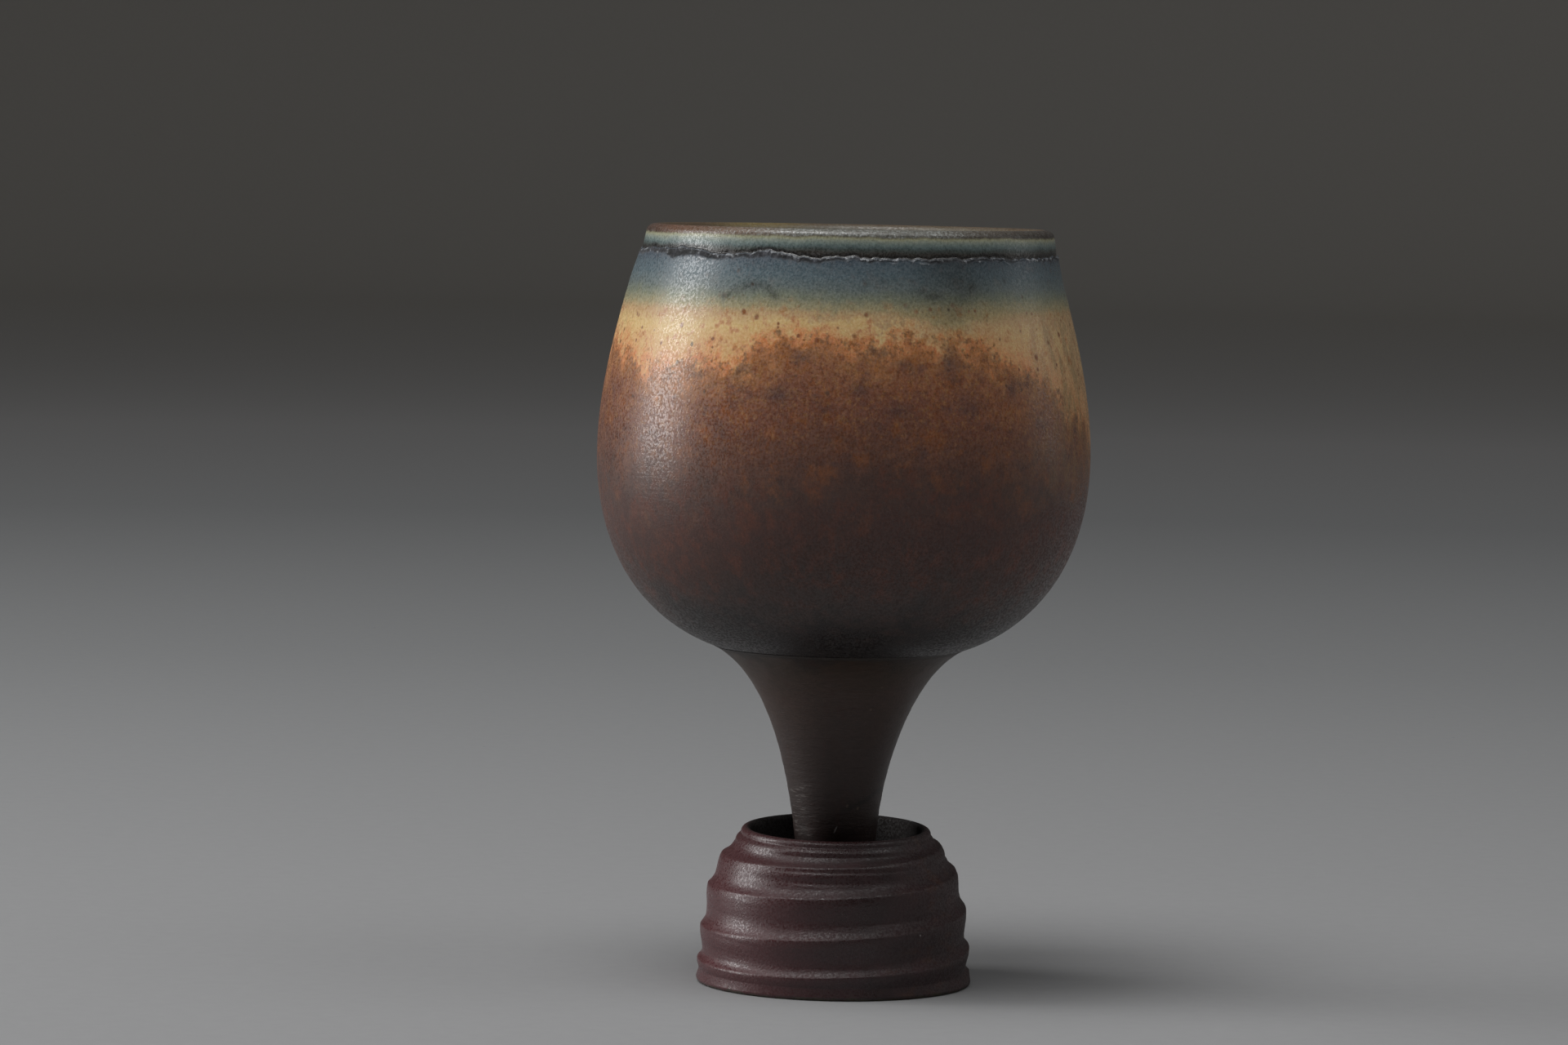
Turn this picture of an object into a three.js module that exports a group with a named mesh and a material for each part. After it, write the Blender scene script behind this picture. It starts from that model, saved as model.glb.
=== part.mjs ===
// Footed stoneware vase: a thrown goblet bowl on a trumpet stem that stands in a ribbed, dished foot.
// Three thrown pieces are luted together with two beds of clay slip.
// Millimetres, +Z up, the foot's ring stands on z = 0 and the axis of throwing is Z.
import * as THREE from 'three';

// Driving dimensions. Heights in a piece count from that piece's own seat.
const segments = 48; // facets round every turned piece

const foot = {
  height: 16.45, // table to the crest of its mouth, at the sides
  baseRadius: 14.6, // crest of the lowest rib
  baseHeight: 1.2, // height at which the wall starts to close in
  edgeRound: 0.45, // worn bottom edge
  lean: 3.3, // degrees, inward lean of the wall just above the base
  lowerPull: 8.0, // how far the wall keeps that lean
  shoulderDrop: 0.65, // crest down to where the shoulder meets the outside of the rim
  shoulderSlope: 40, // degrees above level
  shoulderPull: 4.6, // how far the shoulder keeps that slope
  mouthRadius: 9.0, // inside the rim
  rimWidth: 1.05,
  rimRise: 0.55, // roundness of the rim's top
  tilt: 3.2, // degrees, the thrown form leans to the front and was cut level at the base
  tiltHeight: 6.0, // height over which the wall takes up that lean
  mouthTilt: 2.4, // degrees, the mouth was trimmed closer to level
  easeFrom: 5.45, // crest down to where the wall starts to ease towards the mouth's lean
  easeOver: 4.5, // and the height it takes to do so
  dishDepth: 6.3, // crest of the mouth to the dish's floor
  dishFloorRadius: 5.6,
  ringWidth: 2.8, // bare ring that the vase stands on
  recessDepth: 3.0, // turned hollow inside that ring
  wallSteps: 36,
};

const rib = {
  turns: 3.667, // turns of the throwing rib over the foot's height, if they were even
  crowding: 6.87, // how much closer the turns lie towards the base and the mouth
  middle: 0.4713, // share of the height where they lie widest apart
  start: 0.42, // turns, sets where the rib leaves the base
  depth: 0.48, // ledge above each crest
  ledgeShare: 0.27, // share of a turn's rise that the ledge takes
  fadeIn: 1.6, // height over which the rib grows out of the base
  fadeOut: 1.2, // height below the rim over which it dies away
};

const stem = {
  length: 24.62, // slip bed to the bowl's seat
  footRadius: 4.15,
  seatRadius: 12.6, // flat top that carries the bowl
  shankPull: 9.2, // how far the shank stays upright
  flare: 33, // degrees above level, slope of the trumpet at its rim
  flarePull: 6.8,
  edgeRound: 0.3,
};

const bowl = {
  seatRadius: 13.25, // flat under the bottom, wider than the stem by the slope of the slip
  bellyRadius: 26.1,
  bellyHeight: 20.33,
  undersideSlope: 18.5, // degrees above level, where the bowl leaves its seat
  undersidePull: 7.4,
  bellyPullDown: 11.4,
  bellyPullUp: 7.6,
  collarHeight: 41.33, // torn edge of the glaze below the lip
  collarRadius: 22.15,
  collarStep: 0.2, // the collar is turned back by this much
  collarSlope: 15, // degrees off upright, the closing wall below the collar
  collarPull: 5.6,
  lipHeight: 44.38,
  lipWidth: 2.0,
  lipDrop: 0.85, // roundness of the lip's crest
  lipRadius: 21.55, // outside of the lip
  wall: 2.45, // at the belly
  floor: 3.58, // at the middle of the bottom
  floorRadius: 4.0,
  innerPullDown: 11.6,
  innerPullAcross: 13.0,
};

const seamSlip = {
  thickness: 0.35, // its edge is wiped flush, a slope from the stem's rim to the bowl's seat
};

const footSlip = {
  thickness: 0.5,
  squeeze: 1.1, // bead pressed out of the joint
};

// Heights of the stack, from the table up
const dishFloor = foot.height - foot.dishDepth;
const stemSeat = dishFloor + footSlip.thickness;
const seamHeight = stemSeat + stem.length;
const bowlSeat = seamHeight + seamSlip.thickness;

const clay = {
  bowl: new THREE.MeshStandardMaterial({ color: 0x6e4226, roughness: 0.42, metalness: 0 }),
  stem: new THREE.MeshStandardMaterial({ color: 0x2e2623, roughness: 0.5, metalness: 0 }),
  foot: new THREE.MeshStandardMaterial({ color: 0x472c2b, roughness: 0.55, metalness: 0 }),
  slip: new THREE.MeshStandardMaterial({ color: 0x352a28, roughness: 0.6, metalness: 0 }),
};

function at(radius, height) {
  return new THREE.Vector2(radius, height);
}

// Unit step in the outline's plane, at an angle counted from straight out towards up
function heading(degrees) {
  const angle = THREE.MathUtils.degToRad(degrees);
  return at(Math.cos(angle), Math.sin(angle));
}

// Smooth stretch of an outline: it leaves start along startHeading and reaches end along endHeading
function sweep(start, startHeading, startPull, end, endHeading, endPull, steps) {
  const startHandle = start.clone().addScaledVector(heading(startHeading), startPull);
  const endHandle = end.clone().addScaledVector(heading(endHeading), -endPull);
  return new THREE.CubicBezierCurve(start, startHandle, endHandle, end).getPoints(steps);
}

// Elliptical stretch, with its angles counted from straight out towards up
function roundOver(centre, width, height, fromDegrees, toDegrees, steps) {
  const from = THREE.MathUtils.degToRad(fromDegrees);
  const to = THREE.MathUtils.degToRad(toDegrees);
  const arc = new THREE.EllipseCurve(centre.x, centre.y, width, height, from, to, to < from);
  return arc.getPoints(steps);
}

// Joins stretches into one outline and drops the points that two of them share
function joined(...stretches) {
  const outline = [];
  for (const point of stretches.flat()) {
    const last = outline[outline.length - 1];
    if (!last || last.distanceTo(point) > 1e-4) outline.push(point);
  }
  return outline;
}

// The lathe turns about Y, so each piece is tipped until its axis is Z and its start faces the front
function turned(outline) {
  const geometry = new THREE.LatheGeometry(outline, segments);
  geometry.rotateX(Math.PI / 2);
  return geometry;
}

function smooth(share) {
  const held = THREE.MathUtils.clamp(share, 0, 1);
  return held * held * (3 - 2 * held);
}

// Depth of the throwing rib below its crest line, at a turn (0 to 1, rightwards from the front)
// and a height in the leaning form. Going up from a crest the wall drops back over a short ledge,
// then swells out again to the next crest.
function ribDepth(turn, height) {
  const share = height / foot.height;
  const risen = rib.turns * share + rib.crowding * (share - rib.middle) ** 3 + rib.start;
  const phase = risen - turn - Math.floor(risen - turn);
  const ledge = rib.ledgeShare;
  const drop = phase < ledge ? 1 - (1 - phase / ledge) ** 2 : 1 - smooth((phase - ledge) / (1 - ledge));
  const top = foot.height - foot.rimRise;
  return rib.depth * drop * smooth(height / rib.fadeIn) * smooth((top - height) / rib.fadeOut);
}

// Gives the lathed foot its lean and cuts the throwing rib into its wall. The underside and the
// dish's floor stay level, so the foot stands flat and the stem stands upright in it.
function throwFoot(geometry, outline, wall, rim) {
  const firstOfWall = outline.indexOf(wall[0]);
  const lastOfWall = outline.indexOf(wall[wall.length - 1]);
  const lastOfRim = outline.indexOf(rim[rim.length - 1]);
  const rimHeight = rim[rim.length - 1].y;
  const slope = Math.tan(THREE.MathUtils.degToRad(foot.tilt));
  const mouthSlope = Math.tan(THREE.MathUtils.degToRad(foot.mouthTilt));
  const position = geometry.getAttribute('position');
  for (let index = 0; index < position.count; index += 1) {
    const row = index % outline.length;
    if (row < firstOfWall) continue;
    const turn = (Math.floor(index / outline.length) % segments) / segments;
    const { x: radius, y: height } = outline[row];
    const forward = -radius * Math.cos(2 * Math.PI * turn);
    const inDish = row > lastOfRim;
    const share = inDish ? (height - dishFloor) / (rimHeight - dishFloor) : height / foot.tiltHeight;
    const eased = inDish ? 1 : smooth((height - foot.height + foot.easeFrom) / foot.easeOver);
    const lean = THREE.MathUtils.lerp(slope, mouthSlope, eased);
    const lifted = height + lean * forward * smooth(share);
    position.setZ(index, lifted);
    if (row > lastOfWall) continue;
    const shrink = (radius - ribDepth(turn, lifted - slope * forward)) / radius;
    position.setX(index, position.getX(index) * shrink);
    position.setY(index, position.getY(index) * shrink);
  }
}

function makeFoot() {
  const rimMiddle = at(foot.mouthRadius + foot.rimWidth / 2, foot.height - foot.rimRise);
  const rim = roundOver(rimMiddle, foot.rimWidth / 2, foot.rimRise, 0, 180, 8);
  const base = at(foot.baseRadius, foot.baseHeight);
  const shoulder = at(foot.mouthRadius + foot.rimWidth, foot.height - foot.shoulderDrop);
  const wall = sweep(base, 90 + foot.lean, foot.lowerPull, shoulder, 180 - foot.shoulderSlope,
    foot.shoulderPull, foot.wallSteps);

  const ringOuter = foot.baseRadius - foot.edgeRound;
  const ringInner = ringOuter - foot.ringWidth;
  const edge = roundOver(at(ringOuter, foot.edgeRound), foot.edgeRound, foot.edgeRound, -90, 0, 3);
  const recess = sweep(at(0, foot.recessDepth), 0, ringInner * 0.75, at(ringInner, 0), -90,
    foot.recessDepth * 0.7, 8);
  const dish = sweep(at(foot.mouthRadius, rimMiddle.y), -90, foot.dishDepth * 0.55,
    at(foot.dishFloorRadius, dishFloor), 180, (foot.mouthRadius - foot.dishFloorRadius) * 0.9, 7);

  const outline = joined(recess, edge, wall, rim, dish, [at(0, dishFloor)]);
  const geometry = turned(outline);
  throwFoot(geometry, outline, wall, rim);
  return geometry;
}

function makeStem() {
  const round = stem.edgeRound;
  const toe = roundOver(at(stem.footRadius - round, round), round, round, -90, 0, 3);
  const shank = sweep(toe[toe.length - 1], 90, stem.shankPull, at(stem.seatRadius, stem.length),
    stem.flare, stem.flarePull, 18);
  return turned(joined([at(0, 0)], toe, shank, [at(0, stem.length)]));
}

function makeBowl() {
  const belly = at(bowl.bellyRadius, bowl.bellyHeight);
  const underside = sweep(at(bowl.seatRadius, 0), bowl.undersideSlope, bowl.undersidePull,
    belly, 90, bowl.bellyPullDown, 11);
  const shoulder = sweep(belly, 90, bowl.bellyPullUp, at(bowl.collarRadius, bowl.collarHeight),
    90 + bowl.collarSlope, bowl.collarPull, 9);

  const lipMiddle = at(bowl.lipRadius - bowl.lipWidth / 2, bowl.lipHeight - bowl.lipDrop);
  const lip = roundOver(lipMiddle, bowl.lipWidth / 2, bowl.lipDrop, 0, 180, 8);
  const collar = at(bowl.collarRadius - bowl.collarStep, bowl.collarHeight + bowl.collarStep);

  const innerBelly = at(bowl.bellyRadius - bowl.wall, bowl.bellyHeight);
  const innerShoulder = sweep(lip[lip.length - 1], -90 + bowl.collarSlope, bowl.collarPull,
    innerBelly, -90, bowl.bellyPullUp, 8);
  const innerFloor = sweep(innerBelly, -90, bowl.innerPullDown, at(bowl.floorRadius, bowl.floor),
    180, bowl.innerPullAcross, 10);
  return turned(joined([at(0, 0)], underside, shoulder, [collar], lip, innerShoulder, innerFloor,
    [at(0, bowl.floor)]));
}

// Bed of slip that was wiped flush between the stem's rim and the bowl's underside
function makeSeamSlip() {
  const thickness = seamSlip.thickness;
  return turned([at(0, 0), at(stem.seatRadius, 0), at(bowl.seatRadius, thickness), at(0, thickness)]);
}

// Bed of slip with the round bead that is pressed out all round the stem's end
function makeFootSlip() {
  const half = footSlip.thickness / 2;
  const reach = stem.footRadius + footSlip.squeeze;
  const bead = roundOver(at(reach - half, half), half, half, -90, 90, 5);
  return turned(joined([at(0, 0)], bead, [at(0, footSlip.thickness)]));
}

function piece(name, geometry, material, height) {
  const mesh = new THREE.Mesh(geometry, material);
  mesh.name = name;
  mesh.position.z = height;
  return mesh;
}

const vase = new THREE.Group();
vase.name = 'footed_vase';
vase.add(piece('foot', makeFoot(), clay.foot, 0));
vase.add(piece('foot_slip', makeFootSlip(), clay.slip, dishFloor));
vase.add(piece('stem', makeStem(), clay.stem, stemSeat));
vase.add(piece('bowl_slip', makeSeamSlip(), clay.slip, seamHeight));
vase.add(piece('bowl', makeBowl(), clay.bowl, bowlSeat));

export default vase;
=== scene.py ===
import math

import bpy
import numpy as np
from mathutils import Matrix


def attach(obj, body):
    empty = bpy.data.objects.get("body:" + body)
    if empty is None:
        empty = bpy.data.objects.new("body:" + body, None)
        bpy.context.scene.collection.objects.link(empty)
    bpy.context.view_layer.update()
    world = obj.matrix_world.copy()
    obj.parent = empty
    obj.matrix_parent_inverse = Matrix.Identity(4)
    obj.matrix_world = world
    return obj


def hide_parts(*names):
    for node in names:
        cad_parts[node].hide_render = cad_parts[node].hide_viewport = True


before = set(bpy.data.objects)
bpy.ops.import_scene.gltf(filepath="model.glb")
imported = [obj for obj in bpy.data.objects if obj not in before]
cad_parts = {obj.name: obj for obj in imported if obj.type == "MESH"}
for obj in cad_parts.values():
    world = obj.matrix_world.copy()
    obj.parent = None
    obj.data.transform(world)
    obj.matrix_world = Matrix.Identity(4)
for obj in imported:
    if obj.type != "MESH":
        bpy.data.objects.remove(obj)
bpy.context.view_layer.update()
mm = 0.001  # the shapes below are written in millimetres
print("packed pieces:", ", ".join(sorted(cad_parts)))


# Outlines of turned pieces: lists of (radius, height) from the bottom of the axis outwards, up and back in

def cadOutline(name):
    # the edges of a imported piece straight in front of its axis, walked from the bottom
    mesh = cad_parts[name].data
    points = np.round(np.array([v.co for v in mesh.vertices]) / mm, 3)
    inFront = (abs(points[:, 0]) < 0.01) & (points[:, 1] < 0.01)
    nextTo = {}
    for edge in mesh.edges:
        a, b = edge.vertices
        if inFront[a] and inFront[b]:
            a, b = [(abs(points[v][1]), points[v][2]) for v in (a, b)]
            nextTo.setdefault(a, set()).add(b)
            nextTo.setdefault(b, set()).add(a)
    here = min((p for p in nextTo if p[0] < 0.01), key=lambda p: p[1])
    outline = [here]
    while ahead := nextTo[here] - set(outline):
        here = ahead.pop()
        outline.append(here)
    return np.array(outline)


def smoothRun(points, step):
    # cubic through a stretch of points, with its slopes taken from the neighbours
    gaps = np.hypot(*np.diff(points, axis=0).T)
    travel = np.concatenate([[0], np.cumsum(gaps)])
    if len(points) < 3:
        slopes = np.gradient(points, travel, axis=0)
    else:
        slopes = np.gradient(points, travel, axis=0, edge_order=2)
    fine = np.linspace(0, travel[-1], max(2, int(travel[-1] / step)))
    k = np.clip(np.searchsorted(travel, fine, side="right") - 1, 0, len(gaps) - 1)
    gap = gaps[k][:, None]
    t = (fine[:, None] - travel[k][:, None]) / gap
    return ((2 * t**3 - 3 * t**2 + 1) * points[k] + (t**3 - 2 * t**2 + t) * gap * slopes[k]
            + (3 * t**2 - 2 * t**3) * points[k + 1] + (t**3 - t**2) * gap * slopes[k + 1])


def smoothRuns(points, step=0.03):
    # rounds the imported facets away, and parts the outline at its corners and at the ends of level seats
    along = np.diff(points, axis=0)
    slope = np.degrees(np.arctan2(along[:, 1], along[:, 0]))
    turns = abs((np.diff(slope) + 180) % 360 - 180)
    level = abs(along[:, 1]) < 0.002
    corner = (turns > 30) | ((level[1:] != level[:-1]) & (turns > 12))
    cuts = [0, *(np.flatnonzero(corner) + 1), len(points) - 1]
    return [smoothRun(points[a:b + 1], step) for a, b in zip(cuts[:-1], cuts[1:])]


def layRows(runs, spacing):
    # rows along every run, as far apart as spacing(radius, height) says, with one on each corner
    rows, corners = [], []
    for run in runs:
        gaps = np.hypot(*np.diff(run, axis=0).T)
        middle = (run[1:] + run[:-1]) / 2
        travel = np.concatenate([[0], np.cumsum(gaps / spacing(middle[:, 0], middle[:, 1]))])
        at = np.linspace(0, travel[-1], int(math.ceil(travel[-1])) + 1)
        made = np.column_stack([np.interp(at, travel, run[:, 0]), np.interp(at, travel, run[:, 1])])
        rows += made[(1 if rows else 0):].tolist()
        corners.append(len(rows) - 1)
    return np.array(rows), corners[:-1]


def heading(degrees):
    return np.array([math.cos(math.radians(degrees)), math.sin(math.radians(degrees))])


def sweep(start, startHeading, startPull, end, endHeading, endPull, steps=200):
    # smooth stretch that leaves start along one heading and reaches end along another
    start, end = np.array(start), np.array(end)
    a, b = start + heading(startHeading) * startPull, end - heading(endHeading) * endPull
    t = np.linspace(0, 1, steps)[:, None]
    return (1 - t)**3 * start + 3 * (1 - t)**2 * t * a + 3 * (1 - t) * t**2 * b + t**3 * end


def roundOver(centre, width, height, fromDegrees, toDegrees, steps=60):
    angle = np.radians(np.linspace(fromDegrees, toDegrees, steps))
    return np.column_stack([centre[0] + width * np.cos(angle), centre[1] + height * np.sin(angle)])


# Uneven hand work: smooth random waves that close round the piece. A turn runs from 0 to 1, rightwards from
# the front

def smooth(share):
    share = np.clip(share, 0, 1)
    return share * share * (3 - 2 * share)


def ringWaves(turn, count, seed):
    values = np.random.default_rng(seed).uniform(-1, 1, count)
    at = (turn % 1) * count
    low = np.floor(at).astype(int)
    share = smooth(at - low)
    return values[low % count] * (1 - share) + values[(low + 1) % count] * share


def wallWaves(turn, height, count, tall, seed, layers=128):
    # the same with a second direction: each wave is tall millimetres high
    values = np.random.default_rng(seed).uniform(-1, 1, (layers, count))
    at, up = (turn % 1) * count, height / tall + layers
    low, floor = np.floor(at).astype(int), np.floor(up).astype(int)
    share, rise = smooth(at - low), smooth(up - floor)

    def layer(number):
        row = number % layers
        return values[row, low % count] * (1 - share) + values[row, (low + 1) % count] * share

    return layer(floor) * (1 - rise) + layer(floor + 1) * rise


def near(value, middle, width):
    return np.exp(-((value - middle) / width) ** 2)


def aroundFrom(turn, degrees):
    # degrees round the piece from a place, -180 to 180
    return (turn * 360 - degrees + 180) % 360 - 180


# Builds a piece from its rows. Rows may have different counts of points, each the same as its neighbour's or
# half or twice as many, and a row on the axis has one

def turnPiece(name, rows, corners, counts, shape, finish):
    points, marks, starts, placed = [], {}, [], 0
    for index, ((radius, height), count) in enumerate(zip(rows, counts)):
        turn = np.arange(count) / count
        r, z, marked = shape(turn, radius, height, index)
        angle = 2 * np.pi * turn
        points.append(np.column_stack([r * np.sin(angle), -r * np.cos(angle), z + 0 * turn]))
        for key, value in marked.items():
            marks.setdefault(key, {})[index] = value + 0 * turn
        starts.append(placed)
        placed += count
    faces = []
    for index in range(len(rows) - 1):
        n, m = counts[index], counts[index + 1]
        a = starts[index] + np.arange(2 * n + 1) % n
        b = starts[index + 1] + np.arange(2 * m + 1) % m
        i = np.arange(min(n, m) if min(n, m) > 1 else max(n, m))
        if n == m:
            faces += np.column_stack([a[i], a[i + 1], b[i + 1], b[i]]).tolist()
        elif n == 1:
            faces += np.column_stack([a[0 * i], b[i + 1], b[i]]).tolist()
        elif m == 1:
            faces += np.column_stack([a[i], a[i + 1], b[0 * i]]).tolist()
        elif m == 2 * n:
            faces += np.column_stack([a[i], a[i + 1], b[2 * i + 1]]).tolist()
            faces += np.column_stack([a[i], b[2 * i + 1], b[2 * i]]).tolist()
            faces += np.column_stack([a[i + 1], b[2 * i + 2], b[2 * i + 1]]).tolist()
        else:
            faces += np.column_stack([b[i + 1], b[i], a[2 * i + 1]]).tolist()
            faces += np.column_stack([a[2 * i], a[2 * i + 1], b[i]]).tolist()
            faces += np.column_stack([a[2 * i + 1], a[2 * i + 2], b[i + 1]]).tolist()
    mesh = bpy.data.meshes.new(name)
    mesh.from_pydata((np.concatenate(points) * mm).tolist(), [], faces)
    for key, found in marks.items():
        values = np.concatenate([found.get(k, np.zeros(counts[k])) for k in range(len(rows))])
        mesh.attributes.new(key, "FLOAT", "POINT").data.foreach_set("value", values.astype(np.float32))
    mesh.shade_smooth()
    # the rings on corners stay crisp
    ends = np.zeros(2 * len(mesh.edges), dtype=np.int32)
    mesh.edges.foreach_get("vertices", ends)
    ring = np.searchsorted(starts, ends.reshape(-1, 2), side="right") - 1
    sharp = (ring[:, 0] == ring[:, 1]) & np.isin(ring[:, 0], corners)
    mesh.attributes.new("sharp_edge", "BOOLEAN", "EDGE").data.foreach_set("value", sharp)
    mesh.materials.append(finish)
    piece = bpy.data.objects.new(name, mesh)
    bpy.context.scene.collection.objects.link(piece)
    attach(piece, "root")
    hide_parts(name.removeprefix("thrown_"))
    print(f"{name}: {len(points)} rows, {len(faces)} faces")


def evenCounts(counts):
    # lets neighbouring rows differ by no more than half or twice
    counts = list(counts)
    for order in (range(1, len(counts)), range(len(counts) - 2, -1, -1)):
        for k in order:
            other = counts[k - 1] if order.step > 0 else counts[k + 1]
            if counts[k] > 1 and other > 2 * counts[k]:
                counts[k] = other // 2
    return counts


# Node helpers

def colour(code):
    # screen colour such as "ae9872" as Blender's linear numbers
    parts = [int(code[k:k + 2], 16) / 255 for k in (0, 2, 4)]
    return [p / 12.92 if p <= 0.04045 else ((p + 0.055) / 1.055) ** 2.4 for p in parts] + [1]


def add(tree, kind, inputs=None, **settings):
    made = tree.nodes.new("ShaderNode" + kind)
    for key, value in settings.items():
        setattr(made, key, value)
    for key, value in (inputs or {}).items():
        if isinstance(value, bpy.types.NodeSocket):
            tree.links.new(value, made.inputs[key])
        else:
            made.inputs[key].default_value = value
    return made


def calc(tree, operation, a, b=0.0, clamp=False):
    return add(tree, "Math", {0: a, 1: b}, operation=operation, use_clamp=clamp).outputs[0]


def times(tree, made, *others):
    for other in others:
        made = calc(tree, "MULTIPLY", made, other)
    return made


def total(tree, *parts):
    # adds values up, each times its own weight
    made = None
    for value, weight in parts:
        made = add(tree, "Math", {0: value, 1: weight, 2: made or 0.0}, operation="MULTIPLY_ADD").outputs[0]
    return made


def fade(tree, value, low, high, atLow=0.0, atHigh=1.0):
    # eases from one value to another while value passes from low to high
    settings = {"Value": value, "From Min": low, "From Max": high, "To Min": atLow, "To Max": atHigh}
    return add(tree, "MapRange", settings, interpolation_type="SMOOTHSTEP").outputs["Result"]


def noise(tree, place, perMm, detail=3.0, rough=0.55, stretch=(1, 1, 1), offset=0.0):
    # cloudy value about 0.5; stretch squeezes the pattern along x, y and z
    moved = add(tree, "VectorMath", {0: place, 1: stretch, 2: (offset, offset * 2, -offset)},
                operation="MULTIPLY_ADD").outputs[0]
    settings = {"Vector": moved, "Scale": perMm, "Detail": detail, "Roughness": rough}
    return add(tree, "TexNoise", settings).outputs[0]


def blend(tree, share, a, b, mode="MIX"):
    return add(tree, "MixRGB", {0: share, 1: a, 2: b}, blend_type=mode).outputs[0]


def tint(tree, base, code, *shares):
    # lays a colour over base, as thickly as the shares multiplied say
    return blend(tree, times(tree, *shares), base, colour(code))


def ramp(tree, value, low, high, stops):
    # colours along a value from low to high: each stop is a place on it and a colour
    share = add(tree, "MapRange", {"Value": value, "From Min": low, "From Max": high}).outputs[0]
    made = add(tree, "ValToRGB", {0: share})
    elements = made.color_ramp.elements
    for at, code in stops[1:-1]:
        elements.new((at - low) / (high - low)).color = colour(code)
    for end in (0, -1):
        at, code = stops[end]
        elements[end].position, elements[end].color = (at - low) / (high - low), colour(code)
    return made.outputs[0]


def grained(tree, base, pattern, share, dark, light):
    # a grey pattern over the colour: dark and light are each a place on the pattern and a grey
    return blend(tree, share, base, ramp(tree, pattern, 0.0, 1.0, [dark, light]), "OVERLAY")


def bump(tree, pattern, depth, strength=1.0, under=None):
    settings = {"Height": pattern, "Strength": strength, "Distance": depth}
    if under is not None:
        settings["Normal"] = under
    return add(tree, "Bump", settings).outputs[0]


def specks(tree, place, perMm, share, size, squash=0.75, offset=0.0):
    # scattered spots: one cell in `share` has one, at most size millimetres across
    moved = add(tree, "VectorMath", {0: place, 1: (1, 1, squash), 2: (offset, -offset, offset)},
                operation="MULTIPLY_ADD").outputs[0]
    cells = add(tree, "TexVoronoi", {"Vector": moved, "Scale": perMm, "Randomness": 1.0})
    chance = add(tree, "SeparateColor", {0: cells.outputs["Color"]})
    reach = calc(tree, "MULTIPLY", fade(tree, chance.outputs[0], 1 - share, 1.0, 0.0, 1.0), size * perMm / 2)
    inside = calc(tree, "SUBTRACT", reach, cells.outputs["Distance"])
    return add(tree, "MapRange", {"Value": inside, "From Min": 0.0, "From Max": size * perMm / 4}).outputs[0]


def newFinish(name):
    finish = bpy.data.materials.new(name)
    finish.use_nodes = True
    tree = finish.node_tree
    shader = tree.nodes["Principled BSDF"]
    objectPlace = add(tree, "TexCoord").outputs["Object"]
    place = add(tree, "VectorMath", {0: objectPlace, "Scale": 1 / mm}, operation="SCALE").outputs[0]
    parts = add(tree, "SeparateXYZ", {0: place})
    return finish, tree, shader, place, parts


def wire(tree, shader, base, rough, raised):
    for value, socket in ((base, "Base Color"), (rough, "Roughness"), (raised, "Normal")):
        tree.links.new(value, shader.inputs[socket])


def mark(tree, name):
    return add(tree, "Attribute", attribute_name=name).outputs["Fac"]


glazeIor = 1.62  # the glaze of the bowl and the foot


# Bowl

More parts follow.
